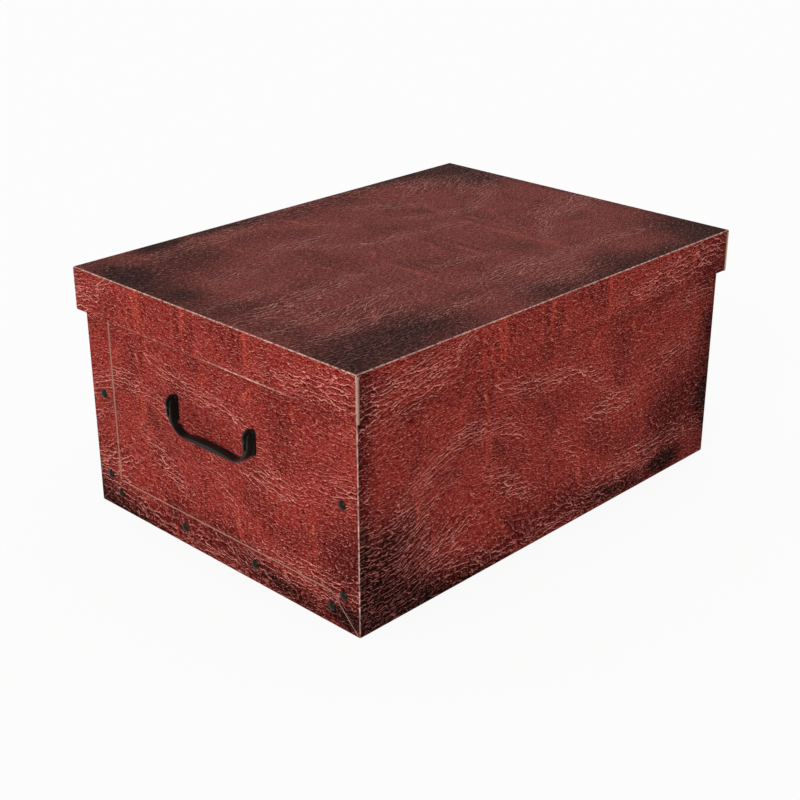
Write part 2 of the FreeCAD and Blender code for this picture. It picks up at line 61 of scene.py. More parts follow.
# Leather-effect print. u runs along a wall from its middle and v is the height. The sheet carries
# on over the lid, where v goes on past the top of the walls.
printLook = {
    "base": "#912e27", "deep": "#661c1a", "burnt": "#1c110d",
    "wax": "#c04433", "crease": "#e59c8f", "creaseInBurn": "#ac5f5c",
    # Dark patches: below a strength of about 0.5 only a deeper red, above it burnt
    "burns": [
        (-240, 40, 110, 84, 20, 1.15), (-180, 4, 120, 44, -6, 0.75), (-215, 78, 44, 26, 10, 0.3),
        (-262, 150, 130, 36, 90, 1.1), (-100, -4, 100, 34, 0, 0.5), (-56, 32, 40, 26, -25, 0.42),
        (16, 30, 62, 30, 8, 0.42), (80, 14, 60, 18, 0, 0.75), (182, 14, 40, 16, 0, 1.1),
        (130, 6, 60, 20, 0, 0.5), (250, 56, 28, 40, 0, 0.7), (246, 142, 28, 24, 10, 0.5),
        (222, 206, 60, 28, -15, 0.45), (200, 76, 90, 60, 12, 0.5), (176, 46, 66, 60, 20, 0.38),
        (262, 100, 170, 52, 90, 0.8), (-100, 172, 44, 18, 85, 0.38), (-79, 114, 34, 22, -20, 0.36),
        (98, 164, 50, 28, -60, 0.36), (-6, 134, 60, 24, -5, 0.25), (-65, 143, 22, 12, 0, 0.2),
        (66, 112, 26, 14, 0, 0.25), (-195, 165, 40, 26, 60, 0.15), (0, -12, 340, 60, 0, 0.42),
        (165, 340, 80, 60, -8, 1.05), (250, 352, 84, 66, 0, 1.2), (245, 270, 34, 60, 0, 0.5),
        (-110, 376, 180, 32, 0, 0.75), (-88, 344, 44, 26, 0, 0.6), (24, 356, 44, 30, 0, 0.55),
        (-61, 262, 34, 26, 0, 0.4), (50, 228, 22, 34, 0, 0.35), (-240, 350, 70, 74, 0, 1.0),
        (-60, 380, 300, 60, 0, 0.3), (-215, 316, 80, 70, 0, 0.32), (-246, 240, 26, 90, 0, 0.4),
    ],
    # Streaks where the wax has pulled up and the red shows bright
    "waxMarks": [
        (-86, 240, 110, 5, 91, 1.0), (-79, 236, 60, 3, 88, 0.7), (-97, 176, 62, 4, 92, 0.7),
        (-109, 226, 50, 4, 89, 0.7), (-131, 164, 18, 4, 70, 0.8), (-17, 226, 46, 5, 88, 0.9),
        (-5, 180, 18, 4, 96, 0.9), (1, 208, 20, 3, 70, 0.6), (64, 236, 40, 4, 90, 0.8),
        (56, 178, 18, 4, 55, 1.0), (114, 178, 18, 4, 105, 0.8), (200, 228, 16, 5, 90, 0.9),
        (-182, 96, 30, 4, 95, 1.0), (-94, 116, 26, 7, 80, 0.9), (-86, 98, 20, 4, 50, 0.7),
        (-163, 56, 28, 3, 95, 0.6), (-72, 34, 28, 4, -58, 0.6), (-52, 8, 16, 3, -52, 0.9),
        (39, 48, 32, 5, 105, 0.7), (134, 76, 38, 5, 95, 0.5), (66, 250, 60, 4, 92, 0.6),
        (-32, 233, 40, 4, 90, 0.5), (170, 296, 26, 5, 50, 0.8), (-92, 276, 26, 6, 75, 0.6),
    ],
    # Swells that the creases climb over, as lifts in mm
    "swells": [
        (-112, 84, 96, 110, 0, 38), (0, 112, 110, 100, 0, 18), (-20, 46, 80, 100, -10, 14),
        (-165, -30, 100, 90, 0, 18), (215, 106, 100, 90, 0, 16), (180, -6, 72, 56, 0, 13),
        (-120, 200, 140, 80, 0, 18), (-92, 256, 52, 90, 0, 26), (205, 296, 80, 90, 0, 22),
    ],
    # Where the creases bunch into strong strands
    "bundles": [
        (-158, 126, 70, 14, 26, 1.0), (-98, 140, 50, 12, -4, 0.9), (-64, 128, 40, 11, -34, 0.8),
        (-48, 166, 66, 13, -14, 0.9), (6, 158, 70, 12, -5, 0.9), (60, 138, 40, 12, -30, 0.6),
        (84, 106, 62, 18, 0, 0.9), (-66, 78, 60, 16, -36, 0.9), (20, 80, 46, 10, -55, 0.8),
        (-205, 208, 90, 34, 8, 1.0), (150, 214, 90, 16, 2, 0.9), (176, 130, 70, 24, 10, 0.6),
        (-200, 40, 90, 50, 18, 0.7), (-135, 28, 70, 26, -18, 0.6), (150, 36, 130, 22, 2, 0.8),
        (-185, 90, 60, 16, 20, 0.7), (-12, 304, 100, 26, -4, 1.0), (-146, 310, 90, 14, -6, 0.7),
        (10, 252, 70, 14, -4, 0.6), (190, 300, 110, 18, 4, 1.0), (150, 268, 90, 14, 6, 0.9),
        (120, 330, 80, 14, -4, 0.9), (225, 260, 60, 16, 8, 0.9), (210, 226, 90, 20, 2, 0.8),
        (216, 184, 80, 14, 2, 0.7), (-115, 248, 46, 12, 40, 0.9), (-200, 215, 70, 16, 4, 0.6),
        (176, 300, 34, 10, 48, 0.9), (-120, 60, 60, 16, 12, 0.5), (-222, 60, 60, 70, 20, 0.8),
        (-60, 10, 120, 22, 0, 0.4), (60, 14, 100, 22, 0, 0.6), (225, 345, 90, 30, 0, 0.7),
        (-20, 345, 110, 26, 0, 0.6),
    ],
    # Sizes in mm, along and across where there are two. The speck stands for a grain that is finer
    # on the print and wouldn't show at this distance.
    "size": {
        "sway": 75, "swayReach": (10, 5), "wiggle": 6.5, "wiggleReach": (2.2, 2.2), "wander": 24,
        "wanderReach": (4, 4), "ragged": 5, "fade": 12, "grain": (4.4, 2.0), "grainStep": 0.8,
        "net": (14.0, 4.0), "strand": (34, 4.8), "lineStep": 0.9, "speck": 1.1, "pit": 3.6, "tone": 42,
        "brush": (1.6, 22),
    },
    # Each ramp is from, to, and what these two become
    "ramp": {
        "deep": (-0.15, 0.75, 0.0, 0.9), "burnt": (0.4, 1.85, 0.0, 0.95), "dome": (0.0, 0.34, 0.0, 1.0),
        "grain": (0.36, 0.62, 0.34, 0.52), "net": (0.60, 0.40, 0.30, 0.62), "strand": (0.34, 0.52, 0.45, 1.1),
        "pit": (0.52, 0.36, 0.0, -0.75), "crease": (0.02, 1.0, 0.0, 0.80), "shade": (-0.05, -0.7, 0.0, 0.9),
        "tone": (0.42, 0.68, 0.0, 0.6), "brush": (0.38, 0.60, 0.15, 1.0),
    },
    # How strongly each part counts. Line widths are shares of a cell, and each dark line below a
    # crease has a share of the crease's own strength.
    "share": {
        "burns": 1.6, "waxMarks": 1.6, "bundles": 2.0, "ragged": 1.0, "speck": 1.0, "speckStretch": 0.7,
        "netWidth": 0.11, "netUnder": 0.7, "strandWidth": 0.115, "strandUnder": 0.6, "lean": 0.3,
        "grainInBurn": -0.3, "netInBurn": 0.3, "pitsInBurn": 0.7, "pitsElsewhere": 0.45, "wax": 0.7,
        "shadeValue": 0.16,
    },
}


def buildPrint(name, look):
    # A hide's look, as printed: ground colour, burnt patches, waxy pull-up streaks, fine grain, and
    # a net of pale creases, which are the edges of stretched cells.
    size, ramp, share = look["size"], look["ramp"], look["share"]
    tree = bpy.data.node_groups.new(name, "ShaderNodeTree")
    for label, way, kind in (("Place", "INPUT", "Vector"), ("Shift", "INPUT", "Vector"),
                             ("Colour", "OUTPUT", "Color"), ("Relief", "OUTPUT", "Float")):
        tree.interface.new_socket(name=label, in_out=way, socket_type="NodeSocket" + kind)
    entry = tree.nodes.new("NodeGroupInput")
    place, shift = entry.outputs["Place"], entry.outputs["Shift"]

    shifted = addNode(tree, "VectorMath", {0: place, 1: shift}, operation="ADD")

    def drift(span, reach):
        # A smooth wander in the plane, up to the given reach either way
        noise = addNode(tree, "TexNoise", {"Vector": shifted, "Scale": 1 / span, "Detail": 2.0},
                        out="Color", noise_dimensions="2D")
        parts = addNode(tree, "SeparateColor", {0: noise}).node.outputs
        pair = addNode(tree, "CombineXYZ", {"X": parts[0], "Y": parts[1]})
        return addNode(tree, "VectorMath", {0: pair, 1: (reach[0] * 2, reach[1] * 2, 0), 2: (-reach[0], -reach[1], 0)},
                       operation="MULTIPLY_ADD")

    wiggle = drift(size["wiggle"], size["wiggleReach"])
    marked = addNode(tree, "VectorMath", {0: place, 1: drift(size["wander"], size["wanderReach"])}, operation="ADD")
    burn, wax, bundle = (sumMarks(tree, marked, look[kind], gain=share[kind])
                         for kind in ("burns", "waxMarks", "bundles"))

    # The creases' own plane: level, but for the swells and a slow sway
    swell = sumMarks(tree, place, look["swells"])
    swell = addNode(tree, "CombineXYZ", {"X": 0.0, "Y": swell})
    swayed = addNode(tree, "VectorMath", {0: shifted, 1: drift(size["sway"], size["swayReach"])}, operation="ADD")
    swayed = addNode(tree, "VectorMath", {0: swayed, 1: swell}, operation="SUBTRACT")
    rough = addNode(tree, "VectorMath", {0: swayed, 1: wiggle}, operation="ADD")
    plain = addNode(tree, "VectorMath", {0: shifted, 1: wiggle}, operation="ADD")

    # Where the red deepens, and where it burns to black in ragged patches
    ragged = addNode(tree, "TexNoise", {"Vector": shifted, "Scale": 1 / size["ragged"], "Detail": 4.0,
                                        "Roughness": 0.75}, noise_dimensions="2D")
    burnEdge = addNode(tree, "Math", {0: ragged, 1: share["ragged"], 2: -0.5 * share["ragged"]},
                       operation="MULTIPLY_ADD")
    burnEdge = addNode(tree, "Math", {0: burn, 1: burnEdge}, operation="ADD")
    deepOn, burnOn = (addNode(tree, "MapRange", dict(zip(rampSockets, ramp[kind]), Value=burnEdge),
                              interpolation_type="SMOOTHSTEP") for kind in ("deep", "burnt"))

    def edges(cell, source, lift=0.0):
        # Distance to the nearest edge between stretched cells, read from a little higher up
        length, gap = cell
        cells = addNode(tree, "Mapping", {"Vector": source, "Location": (lift * share["lean"] / length, lift / gap, 0),
                                          "Scale": (1 / length, 1 / gap, 1)})
        return addNode(tree, "TexVoronoi", {"Vector": cells, "Scale": 1.0}, out="Distance",
                       voronoi_dimensions="2D", feature="DISTANCE_TO_EDGE")

    def creaseLines(cell, width, under):
        # Thin pale lines, each with a dark one a step below it
        lines = [addNode(tree, "MapRange", dict(zip(rampSockets, (0.0, width, 1.0, 0.0)),
                                                Value=edges(cell, rough, lift)), interpolation_type="SMOOTHSTEP")
                 for lift in (0.0, size["lineStep"])]
        return addNode(tree, "Math", {0: lines[1], 1: -under, 2: lines[0]}, operation="MULTIPLY_ADD")

    # The creases come and go
    gaps = addNode(tree, "TexNoise", {"Vector": shifted, "Scale": 1 / size["fade"], "Detail": 3.0,
                                      "Roughness": 0.6}, noise_dimensions="2D")

    # Grain: cells seen as flat domes lit from above, as height(v) - height(v + step)
    domes = [addNode(tree, "MapRange", dict(zip(rampSockets, ramp["dome"]), Value=edges(size["grain"], plain, lift)))
             for lift in (0.0, size["grainStep"])]
    light = addNode(tree, "Math", {0: domes[0], 1: domes[1]}, operation="SUBTRACT")
    grainOn = addNode(tree, "MapRange", dict(zip(rampSockets, ramp["grain"]), Value=gaps),
                      interpolation_type="SMOOTHSTEP")
    grainOn = addNode(tree, "Math", {0: burnOn, 1: share["grainInBurn"], 2: grainOn}, operation="MULTIPLY_ADD")
    light = addNode(tree, "Math", {0: light, 1: grainOn}, operation="MULTIPLY")

    netOn = addNode(tree, "MapRange", dict(zip(rampSockets, ramp["net"]), Value=gaps),
                    interpolation_type="SMOOTHSTEP")
    netOn = addNode(tree, "Math", {0: burnOn, 1: share["netInBurn"], 2: netOn}, operation="MULTIPLY_ADD")
    net = creaseLines(size["net"], share["netWidth"], share["netUnder"])
    light = addNode(tree, "Math", {0: net, 1: netOn, 2: light}, operation="MULTIPLY_ADD")

    strandOn = addNode(tree, "MapRange", dict(zip(rampSockets, ramp["strand"]), Value=gaps))
    strandOn = addNode(tree, "Math", {0: bundle, 1: strandOn}, operation="MULTIPLY", use_clamp=True)
    strands = creaseLines(size["strand"], share["strandWidth"], share["strandUnder"])
    light = addNode(tree, "Math", {0: strands, 1: strandOn, 2: light}, operation="MULTIPLY_ADD")

    speckPlace = addNode(tree, "Mapping", {"Vector": shifted,
                                           "Scale": (1 / size["speck"] * share["speckStretch"], 1 / size["speck"], 1)})
    speck = addNode(tree, "TexNoise", {"Vector": speckPlace, "Scale": 1.0, "Detail": 1.0}, noise_dimensions="2D")
    speck = addNode(tree, "Math", {0: speck, 1: share["speck"], 2: -0.5 * share["speck"]}, operation="MULTIPLY_ADD")
    light = addNode(tree, "Math", {0: light, 1: speck}, operation="ADD")

    # Pits between the creases, deepest on the burnt patches
    pits = addNode(tree, "TexNoise", {"Vector": rough, "Scale": 1 / size["pit"], "Detail": 2.0}, noise_dimensions="2D")
    pits = addNode(tree, "MapRange", dict(zip(rampSockets, ramp["pit"]), Value=pits))
    pitsOn = addNode(tree, "Math", {0: burnOn, 1: share["pitsInBurn"], 2: share["pitsElsewhere"]},
                     operation="MULTIPLY_ADD", use_clamp=True)
    light = addNode(tree, "Math", {0: pits, 1: pitsOn, 2: light}, operation="MULTIPLY_ADD")

    creaseOn, shadeOn = (addNode(tree, "MapRange", dict(zip(rampSockets, ramp[kind]), Value=light),
                                 interpolation_type="SMOOTHSTEP") for kind in ("crease", "shade"))

    # Ground colour
    tone = addNode(tree, "TexNoise", {"Vector": swayed, "Scale": 1 / size["tone"], "Detail": 3.0,
                                      "Roughness": 0.55}, noise_dimensions="2D")
    tone = addNode(tree, "MapRange", dict(zip(rampSockets, ramp["tone"]), Value=tone),
                   interpolation_type="SMOOTHSTEP")
    deepOn = addNode(tree, "Math", {0: deepOn, 1: tone}, operation="MAXIMUM")
    colour = addNode(tree, "Mix", {0: deepOn, 6: toLinear(look["base"]), 7: toLinear(look["deep"])},
                     out=2, data_type="RGBA")
    colour = addNode(tree, "Mix", {0: burnOn, 6: colour, 7: toLinear(look["burnt"])}, out=2, data_type="RGBA")

    # Wax streaks have fine brush lines along them
    brushPlace = addNode(tree, "Mapping", {"Vector": marked, "Scale": (1 / size["brush"][0], 1 / size["brush"][1], 1)})
    brush = addNode(tree, "TexNoise", {"Vector": brushPlace, "Scale": 1.0, "Detail": 2.0}, noise_dimensions="2D")
    brush = addNode(tree, "MapRange", dict(zip(rampSockets, ramp["brush"]), Value=brush))
    waxOn = addNode(tree, "Math", {0: wax, 1: brush}, operation="MULTIPLY", use_clamp=True)
    waxOn = addNode(tree, "Math", {0: waxOn, 1: share["wax"]}, operation="MULTIPLY")
    colour = addNode(tree, "Mix", {0: waxOn, 6: colour, 7: toLinear(look["wax"])}, out=2, data_type="RGBA")

    # Shaded undersides, then the pale lit creases, duller on the burnt patches
    shadeTint = addNode(tree, "HueSaturation", {"Color": colour, "Value": share["shadeValue"]})
    colour = addNode(tree, "Mix", {0: shadeOn, 6: colour, 7: shadeTint}, out=2, data_type="RGBA")
    creaseTint = addNode(tree, "Mix", {0: burnOn, 6: toLinear(look["crease"]), 7: toLinear(look["creaseInBurn"])},
                         out=2, data_type="RGBA")
    colour = addNode(tree, "Mix", {0: creaseOn, 6: colour, 7: creaseTint}, out=2, data_type="RGBA")

    leave = tree.nodes.new("NodeGroupOutput")
    tree.links.new(colour, leave.inputs["Colour"])
    tree.links.new(creaseOn, leave.inputs["Relief"])
    return tree


leatherPrint = buildPrint("leatherPrint", printLook)
print("leather print drawn")


def newMaterial(name):
    made = bpy.data.materials.new(name)
    made.use_nodes = True
    tree = made.node_tree
    tree.nodes.clear()
    return made, tree


# The board's look, and how each folded sheet lies. rawBoard is the core seen at cut edges and inside,
# and peel, fibre, crack and stretch are noise sizes.
boardLook = {
    # The third colour is a painted sheen, added as a veil over the lid's top
    "rawBoard": "#c79f8d", "worn": "#dcb9aa", "topPaintedSheen": "#221815",
    "roughness": 0.58, "creaseRoughness": 0.72, "rawRoughness": 0.85, "ior": 1.5, "specular": 0.006,
    "bumpStrength": 0.6, "bumpDepth": 0.00006,  # the depth in metres
    "peel": 1.6, "fibre": 1.4, "fibreRamp": (0.3, 0.7, 0.8, 1.15),
    # The print on the top is read at u = 14 - y and v = x + 191
    # The top's value is painted shade, and its saturation a greying by painted sheen
    "topOffset": (14.0, 191.0), "topPaintedShade": 0.62, "topPaintedSheenSaturation": 0.9,
    "endOffset": 10.0, "otherWall": (713.0, 331.0, 0.0), "farShade": (110.0, 250.0, 0.0, -0.24),
    "foldRadius": 1.4, "skinDepth": 0.2, "openReach": 500.0,
    "crack": 5, "crackRamp": (0.38, 0.60, 0.08, 1.0), "foldBend": (0.98, 0.86),
    # Heights and places on the lid's skirt
    # The last ramp darkens the strip's inner ply, as painted shade
    "liningTop": 235.4, "stripTop": 238.0, "stripStart": 252.7, "innerPlyPaintedShade": (254.4, 254.0, 0.0, 0.45),
    "hem": (200.2, 199.4, 0.0, 1.0), "rubbedMarks": [(52, -255.8, 66, 12, 0, 1.5), (-80, -255.8, 90, 12, 0, 0.3)],
    "stretch": 60, "stretchRamp": (0.5, 0.6, 0.0, 0.35),
    # outer is half the outside size in x and y. shut is the height of the face that is folded shut,
    # and up says which way it faces. An end panel is read as part of a wider box, so that only its
    # outer face is skin.
    "parts": {
        "body_sheet": {"material": "printedBoardBody", "outer": (180.0, 250.0), "shut": 0.0, "up": -1.0, "wear": 0.85},
        "lid": {"material": "lidPrintedBoard", "outer": (185.8, 255.8), "shut": 240.0, "up": 1.0, "wear": 0.85},
        "end_panel_front": {"material": "printedBoardPanel", "outer": (500.0, 248.5), "shut": -300.0, "up": -1.0,
                            "wear": 0.0},
        "end_panel_rear": {"material": "printedBoardPanel", "outer": (500.0, 248.5), "shut": -300.0, "up": -1.0,
                           "wear": 0.0},
    },
}


def buildBoard(look, part):
    # Printed paper laminated on grey board, satin varnished. The eye sees the print, a soft sheen,
    # pale worn folds, and the bare fibrous core wherever a sheet is cut.
    made, tree = newMaterial(part["material"])
    isLid = part["material"].startswith("lid")
    radius = look["foldRadius"]
    coordinates = tree.nodes.new("ShaderNodeTexCoord")
    place = addNode(tree, "VectorMath", {0: coordinates.outputs["Object"], "Scale": mmPerMetre}, operation="SCALE")
    normal = coordinates.outputs["Normal"]
    spots = addNode(tree, "SeparateXYZ", {0: place}).node.outputs
    facing = addNode(tree, "SeparateXYZ", {0: normal}).node.outputs
    size = addNode(tree, "VectorMath", {0: normal}, operation="ABSOLUTE")
    size = addNode(tree, "SeparateXYZ", {0: size}).node.outputs

    # 0.7 is about the cosine of 45 degrees, so each point belongs to one face
    onSide = addNode(tree, "Math", {0: size[0], 1: 0.7}, operation="GREATER_THAN")
    onTop = addNode(tree, "Math", {0: size[2], 1: 0.7}, operation="GREATER_THAN")
    onRear = addNode(tree, "Math", {0: facing[1], 1: 0.0}, operation="GREATER_THAN")
    onLeft = addNode(tree, "Math", {0: facing[0], 1: 0.0}, operation="LESS_THAN")
    onEnd = addNode(tree, "Math", {0: size[1], 1: 0.7}, operation="GREATER_THAN")
    unseenEnd = addNode(tree, "Math", {0: onEnd, 1: onRear}, operation="MULTIPLY")
    unseenSide = addNode(tree, "Math", {0: onSide, 1: onLeft}, operation="MULTIPLY")
    unseen = addNode(tree, "Math", {0: unseenEnd, 1: unseenSide}, operation="ADD", use_clamp=True)

    # Walls read (x, z) or (y, z), turned round on the two far walls, and the top reads (y, x)
    along = addNode(tree, "Mix", {0: onSide, 2: spots[0], 3: spots[1]}, data_type="FLOAT")
    offset = addNode(tree, "MapRange", {"Value": onSide, "To Min": look["endOffset"], "To Max": 0.0})
    turn = addNode(tree, "MapRange", {"Value": unseen, "To Min": 1.0, "To Max": -1.0})
    along = addNode(tree, "Math", {0: along, 1: turn, 2: offset}, operation="MULTIPLY_ADD")
    wallPlace = addNode(tree, "CombineXYZ", {"X": along, "Y": spots[2]})
    shift = addNode(tree, "VectorMath", {0: look["otherWall"], "Scale": unseen}, operation="SCALE")
    if isLid:
        topU = addNode(tree, "Math", {0: look["topOffset"][0], 1: spots[1]}, operation="SUBTRACT")
        topV = addNode(tree, "Math", {0: look["topOffset"][1], 1: spots[0]}, operation="ADD")
        topPlace = addNode(tree, "CombineXYZ", {"X": topU, "Y": topV})
        wallPlace = addNode(tree, "Mix", {0: onTop, 4: wallPlace, 5: topPlace}, out=1, data_type="VECTOR")
    printed = tree.nodes.new("ShaderNodeGroup")
    printed.node_tree = leatherPrint
    tree.links.new(wallPlace, printed.inputs["Place"])
    tree.links.new(shift, printed.inputs["Shift"])
    colour, relief = printed.outputs
    # The long walls' print deepens towards one end
    farShade = addNode(tree, "MapRange", dict(zip(rampSockets, look["farShade"]), Value=along))
    value = addNode(tree, "Math", {0: farShade, 1: onSide, 2: 1.0}, operation="MULTIPLY_ADD")
    saturation = 1.0
    if isLid:
        # Painted shade on the top: it is made darker than the walls, and a little greyer as painted sheen
        topPaintedShade = addNode(tree, "MapRange", {"Value": onTop, "To Min": 1.0, "To Max": look["topPaintedShade"]})
        value = addNode(tree, "Math", {0: value, 1: topPaintedShade}, operation="MULTIPLY")
        saturation = addNode(tree, "MapRange", {"Value": onTop, "To Min": 1.0, "To Max": look["topPaintedSheenSaturation"]})
    colour = addNode(tree, "HueSaturation", {"Color": colour, "Value": value, "Saturation": saturation})
    if isLid:
        # Painted sheen: a grey-brown veil added over the top, so its blacks are only brown
        colour = addNode(tree, "Mix", {0: onTop, 6: colour, 7: toLinear(look["topPaintedSheen"])}, out=2, data_type="RGBA",
                         blend_type="ADD")

    # Depth below the outside of a box with rounded folds: with inset = distance to each face less
    # the fold radius, turned positive outwards, depth = radius - length(max(inset, 0))
    reachX, reachY = part["outer"]
    openReach = look["openReach"]
    middle = part["shut"] - part["up"] * openReach
    centred = addNode(tree, "VectorMath", {0: place, 1: (0.0, 0.0, middle)}, operation="SUBTRACT")
    outwards = addNode(tree, "VectorMath", {0: centred}, operation="SIGN")
    reach = addNode(tree, "VectorMath", {0: centred}, operation="ABSOLUTE")
    inset = addNode(tree, "VectorMath", {0: reach, 1: (reachX - radius, reachY - radius, openReach - radius)},
                    operation="SUBTRACT")
    proud = addNode(tree, "VectorMath", {0: inset, 1: (0.0, 0.0, 0.0)}, operation="MAXIMUM")
    depth = addNode(tree, "VectorMath", {0: proud}, out="Value", operation="LENGTH")
    onSkin = addNode(tree, "Math", {0: depth, 1: radius - look["skinDepth"]}, operation="GREATER_THAN")
    slope = addNode(tree, "VectorMath", {0: proud}, operation="NORMALIZE")
    slope = addNode(tree, "VectorMath", {0: slope, 1: outwards}, operation="MULTIPLY")
    agreed = addNode(tree, "VectorMath", {0: slope, 1: normal}, out="Value", operation="DOT_PRODUCT")
    agreed = addNode(tree, "Math", {0: agreed, 1: 0.5}, operation="GREATER_THAN")
    skin = addNode(tree, "Math", {0: onSkin, 1: agreed}, operation="MULTIPLY")
    if isLid:
        # The skirt's paper turns up inside it, and its end edges show bare on the long walls
        belowLining = addNode(tree, "Math", {0: spots[2], 1: look["liningTop"]}, operation="LESS_THAN")
        alongEnd = addNode(tree, "VectorMath", {0: place}, operation="ABSOLUTE")
        alongEnd = addNode(tree, "SeparateXYZ", {0: alongEnd}).node.outputs
        cutStrip = addNode(tree, "Math", {0: alongEnd[1], 1: look["stripStart"]}, operation="GREATER_THAN")
        cutStrip = addNode(tree, "Math", {0: cutStrip, 1: onSide}, operation="MULTIPLY")
        belowFold = addNode(tree, "Math", {0: spots[2], 1: look["stripTop"]}, operation="LESS_THAN")
        cutStrip = addNode(tree, "Math", {0: cutStrip, 1: belowFold}, operation="MULTIPLY")
        skin = addNode(tree, "Math", {0: skin, 1: belowLining}, operation="MAXIMUM")
        skin = addNode(tree, "Math", {0: skin, 1: cutStrip}, operation="SUBTRACT", use_clamp=True)
        # The strip shows two plies, the inner one darker as painted shade
        innerPlyPaintedShade = addNode(tree, "MapRange", dict(zip(rampSockets, look["innerPlyPaintedShade"]), Value=alongEnd[1]))
        innerPlyPaintedShade = addNode(tree, "Math", {0: innerPlyPaintedShade, 1: cutStrip}, operation="MULTIPLY")

    # Folds wear through to the pale paper, where the slope leans between two faces, broken up by noise
    bent = addNode(tree, "VectorMath", {0: slope}, operation="ABSOLUTE")
    bent = addNode(tree, "SeparateXYZ", {0: bent}).node.outputs
    most = addNode(tree, "Math", {0: bent[0], 1: bent[1]}, operation="MAXIMUM")
    most = addNode(tree, "Math", {0: most, 1: bent[2]}, operation="MAXIMUM")
    crack = addNode(tree, "TexNoise", {"Vector": place, "Scale": 1 / look["crack"], "Detail": 4.0, "Roughness": 0.65})
    crack = addNode(tree, "MapRange", dict(zip(rampSockets, look["crackRamp"]), Value=crack))
    onFold = addNode(tree, "MapRange", dict(zip(rampSockets, (*look["foldBend"], 0.0, part["wear"])), Value=most))
    onFold = addNode(tree, "Math", {0: onFold, 1: crack}, operation="MULTIPLY")
    if isLid:
        # The turned-up hem is rubbed along its lower edge, in long stretches
        stretch = addNode(tree, "TexNoise", {"Vector": place, "Scale": 1 / look["stretch"], "Detail": 2.0})
        stretch = addNode(tree, "MapRange", dict(zip(rampSockets, look["stretchRamp"]), Value=stretch))
        level = addNode(tree, "CombineXYZ", {"X": spots[0], "Y": spots[1]})
        rubbed = sumMarks(tree, level, look["rubbedMarks"])
        stretch = addNode(tree, "Math", {0: stretch, 1: unseenEnd, 2: rubbed}, operation="MULTIPLY_ADD", use_clamp=True)
        onHem = addNode(tree, "MapRange", dict(zip(rampSockets, look["hem"]), Value=spots[2]))
        onHem = addNode(tree, "Math", {0: onHem, 1: stretch}, operation="MULTIPLY")
        onHem = addNode(tree, "Math", {0: onHem, 1: crack}, operation="MULTIPLY")
        onFold = addNode(tree, "Math", {0: onFold, 1: onHem}, operation="MAXIMUM")
    colour = addNode(tree, "Mix", {0: onFold, 6: colour, 7: toLinear(look["worn"])}, out=2, data_type="RGBA")

    fibre = addNode(tree, "TexNoise", {"Vector": place, "Scale": 1 / look["fibre"], "Detail": 3.0, "Roughness": 0.7})
    fibreLift = addNode(tree, "MapRange", dict(zip(rampSockets, look["fibreRamp"]), Value=fibre))
    if isLid:
        # Painted shade on the strip's inner ply
        fibreLift = addNode(tree, "Math", {0: fibreLift, 1: innerPlyPaintedShade}, operation="SUBTRACT")
    bare = addNode(tree, "HueSaturation", {"Color": toLinear(look["rawBoard"]), "Value": fibreLift})
    colour = addNode(tree, "Mix", {0: skin, 6: bare, 7: colour}, out=2, data_type="RGBA")

    sheen = addNode(tree, "MapRange", {"Value": relief, "To Min": look["roughness"], "To Max": look["creaseRoughness"]})
    sheen = addNode(tree, "Mix", {0: skin, 2: look["rawRoughness"], 3: sheen}, data_type="FLOAT")
    peel = addNode(tree, "TexNoise", {"Vector": place, "Scale": 1 / look["peel"], "Detail": 2.0})
    bump = addNode(tree, "Bump", {"Strength": look["bumpStrength"], "Distance": look["bumpDepth"], "Height": peel})
    shader = addNode(tree, "BsdfPrincipled", {"Base Color": colour, "Roughness": sheen, "Normal": bump,
                                              "IOR": look["ior"], "Specular IOR Level": look["specular"]})
    addNode(tree, "OutputMaterial", {"Surface": shader})
    return made


for nodeName, part in boardLook["parts"].items():
    made = bpy.data.materials.get(part["material"]) or buildBoard(boardLook, part)
    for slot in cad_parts[nodeName].material_slots:
        slot.material = made
print("printed board done")


# Black moulded plastics, and the nodes that each is on. texture and rubbed are noise sizes.
plasticLook = {
    "rubbed": 14, "rubbedSpan": (0.3, 0.7), "lift": (0.8, 1.3), "gloss": (-0.05, 0.08),
    "bumpStrength": 0.5, "ior": 1.49, "specular": 0.14, "tint": "#f4efdc",
    "kinds": {  # depth in metres
        "blackPolypropylene": {"colour": "#161513", "roughness": 0.34, "texture": 0.9, "depth": 0.00002,
                               "nodes": ("handle_front", "handle_rear", "handle_bracket", "bracket_clip")},
        "blackNylonRivet": {"colour": "#11120b", "roughness": 0.24, "texture": 1.6, "depth": 0.00001,
                            "nodes": ("rivets_", "rivet_sockets")},
    },
}


